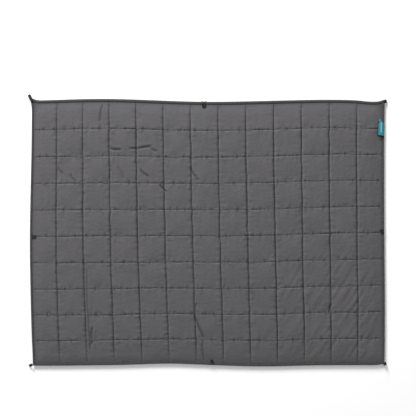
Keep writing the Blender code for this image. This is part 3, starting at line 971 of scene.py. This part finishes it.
def bar_tack(name, node, degrees, material):
    """A bar of stitches side by side over a tape's end, at the middle of the frame's tack and as high as it."""
    low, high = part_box(node)
    centre = np.array((low + high) / 2)
    angle = math.radians(degrees)
    way = np.array([math.cos(angle), math.sin(angle), 0.0])
    bar = np.array([-way[1], way[0], 0.0])
    count, length, stitch, thread = 15, 0.012, 0.0026, 0.0011
    steps = (np.arange(count) + 0.5) / count - 0.5
    places = centre + steps[:, None] * length * bar
    ways = np.tile(way, (count, 1))
    return stitches(name, places, ways, stitch, thread, high.z - low.z, material, "thread")


class QUILT_OT_bar_tacks(bpy.types.Operator):
    """Sews the bars of dense stitches that hold the ends of every loop"""

    bl_idname = "quilt.bar_tacks"
    bl_label = "Bar Tacks"

    def execute(self, context):
        _, colours, _ = settings()
        material = thread_material("tack_thread", colours.thread)
        tacks = []
        for corner, (degrees, _, _) in CORNER_LOOPS.items():
            body = "flap_left" if "left" in corner else "flap_right"
            tacks.append((f"corner_loop_{corner}_tack", f"corner_bar_tack_{corner}", degrees, body))
        for edge, (outward, _, _) in SIDE_LOOPS.items():
            degrees = math.degrees(math.atan2(-outward[1], -outward[0]))
            for tail in "ab":
                names = f"side_loop_{edge}_tack_{tail}", f"side_bar_tack_{edge}_{tail}"
                tacks.append((*names, degrees, PANEL_OF_EDGE[edge]))
        for node, name, degrees, body in tacks:
            obj = bar_tack(name, node, degrees, material)
            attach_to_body(obj, body)
            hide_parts(node)
        return {"FINISHED"}


class QUILT_OT_labels(bpy.types.Operator):
    """Sews the woven label and the care label behind it into the right edge"""

    bl_idname = "quilt.labels"
    bl_label = "Labels"

    def execute(self, context):
        _, colours, _ = settings()
        root = np.array(HINGES["labels_flip"])
        low, high = (np.array(corner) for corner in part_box("woven_label"))
        tilt = math.atan2(high[2] - root[2] - 0.0007, root[0] - low[0])
        curl, ripple = 0.0016, 0.0006
        sheets = (
            ("teal_label", "woven_label", 0.034, 0.092, 0.0010, 0.0, 0.00045, "woven_label"),
            ("black_label", "care_label", 0.039, 0.086, 0.0006, -0.010, -0.00065, "care_label"),
        )
        for name, node, width, length, thickness, shift, lift, slot in sheets:
            a, b = np.meshgrid(np.linspace(0, 1, 15), np.linspace(-0.5, 0.5, 31))
            if name == "teal_label":
                material = label_material("label_weave", colours.label, colours.label_mark, width, length)
            else:
                material = tape_material("care_satin", colours.care, 0.0008)
            upper = np.clip(b + 0.5, 0, 1) ** 1.5
            tucked = 0.62 * ease((b - 0.20) / 0.32)
            share = tucked + (1 - tucked) * a
            inward = share * width * math.cos(tilt) * (1 - 0.16 * upper)
            height = share * width * math.sin(tilt) + lift
            height += curl * np.sin(np.pi * a) + ripple * np.sin(7 * b + 2) * a
            x = root[0] - inward
            y = root[1] + shift + b * length - 0.004 * (1 - a)
            normal = np.array([math.sin(tilt), 0.0, math.cos(tilt)]) * thickness / 2
            middle = np.stack([x, y, root[2] + height], axis=-1)
            uv = np.stack([a * width, b * length], axis=-1)
            front, back = (middle + normal)[:, ::-1], (middle - normal)[:, ::-1]
            obj = two_faced(name, front, back, uv[:, ::-1], material)
            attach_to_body(obj, "labels")
            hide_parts(node)
        return {"FINISHED"}


class QUILT_OT_stage(bpy.types.Operator):
    """Sets the floor, the soft studio light and the camera straight above"""

    bl_idname = "quilt.stage"
    bl_label = "Floor, Light and Camera"

    def execute(self, context):
        _, colours, stage = settings()
        scene = context.scene
        size, drop = 80.0, 0.0005
        corners = np.array([(-1, -1), (1, -1), (1, 1), (-1, 1)]) * size / 2
        points = np.concatenate([corners, np.full((4, 1), -drop)], axis=1)
        mesh = bpy.data.meshes.new("studio_floor")
        mesh.from_pydata(points.tolist(), [], [(0, 1, 2, 3)])
        mesh.materials.append(floor_material("floor_paper", colours.floor))
        floor = bpy.data.objects.new("studio_floor", mesh)
        scene.collection.objects.link(floor)

        light = bpy.data.lights.new("softbox", "AREA")
        light.shape = "RECTANGLE"
        light.size, light.size_y = 3.0, 2.6
        light.energy = stage.key
        softbox = bpy.data.objects.new("softbox", light)
        softbox.location = (-3.2, 7.9, 3.1)
        softbox.rotation_euler = (-softbox.location).to_track_quat("-Z", "Y").to_euler()
        scene.collection.objects.link(softbox)

        world = scene.world or bpy.data.worlds.new("studio")
        scene.world = world
        world.use_nodes = True
        background = world.node_tree.nodes["Background"]
        background.inputs["Color"].default_value = (1.0, 1.0, 1.0, 1.0)
        background.inputs["Strength"].default_value = stage.ambient
        scene.view_settings.view_transform = "Standard"

        camera = bpy.data.objects.new("camera", bpy.data.cameras.new("camera"))
        camera.data.lens = stage.lens
        camera.data.clip_end = 100.0
        camera.location = (0.0, stage.middle, stage.height)
        scene.collection.objects.link(camera)
        scene.camera = camera
        return {"FINISHED"}


PIECES = (
    QUILT_OT_cloths,
    QUILT_OT_fill,
    QUILT_OT_quilting,
    QUILT_OT_edge_tapes,
    QUILT_OT_edge_stitches,
    QUILT_OT_corner_loops,
    QUILT_OT_side_loops,
    QUILT_OT_bar_tacks,
    QUILT_OT_labels,
    QUILT_OT_stage,
)
GROUPS = {"quilt_shape": QuiltShape, "quilt_colours": QuiltColours, "quilt_stage": QuiltStage}


class QUILT_PT_panel(bpy.types.Panel):
    """The quilt's pieces and sizes"""

    bl_idname = "QUILT_PT_panel"
    bl_label = "Camp Quilt"
    bl_space_type = "VIEW_3D"
    bl_region_type = "UI"
    bl_category = "Quilt"

    def draw(self, context):
        for operator in PIECES:
            self.layout.operator(operator.bl_idname)
        for name, group in GROUPS.items():
            box = self.layout.box()
            for key in group.__annotations__:
                box.prop(getattr(context.scene, name), key)


def register():
    for group in GROUPS.values():
        bpy.utils.register_class(group)
    for name, group in GROUPS.items():
        setattr(bpy.types.Scene, name, bpy.props.PointerProperty(type=group))
    for operator in PIECES:
        bpy.utils.register_class(operator)
    bpy.utils.register_class(QUILT_PT_panel)


def unregister():
    bpy.utils.unregister_class(QUILT_PT_panel)
    for operator in reversed(PIECES):
        bpy.utils.unregister_class(operator)
    for name, group in GROUPS.items():
        delattr(bpy.types.Scene, name)
        bpy.utils.unregister_class(group)


def main():
    register()
    for operator in PIECES:
        getattr(bpy.ops.quilt, operator.bl_idname.split(".")[1])()


if __name__ == "__main__":
    main()
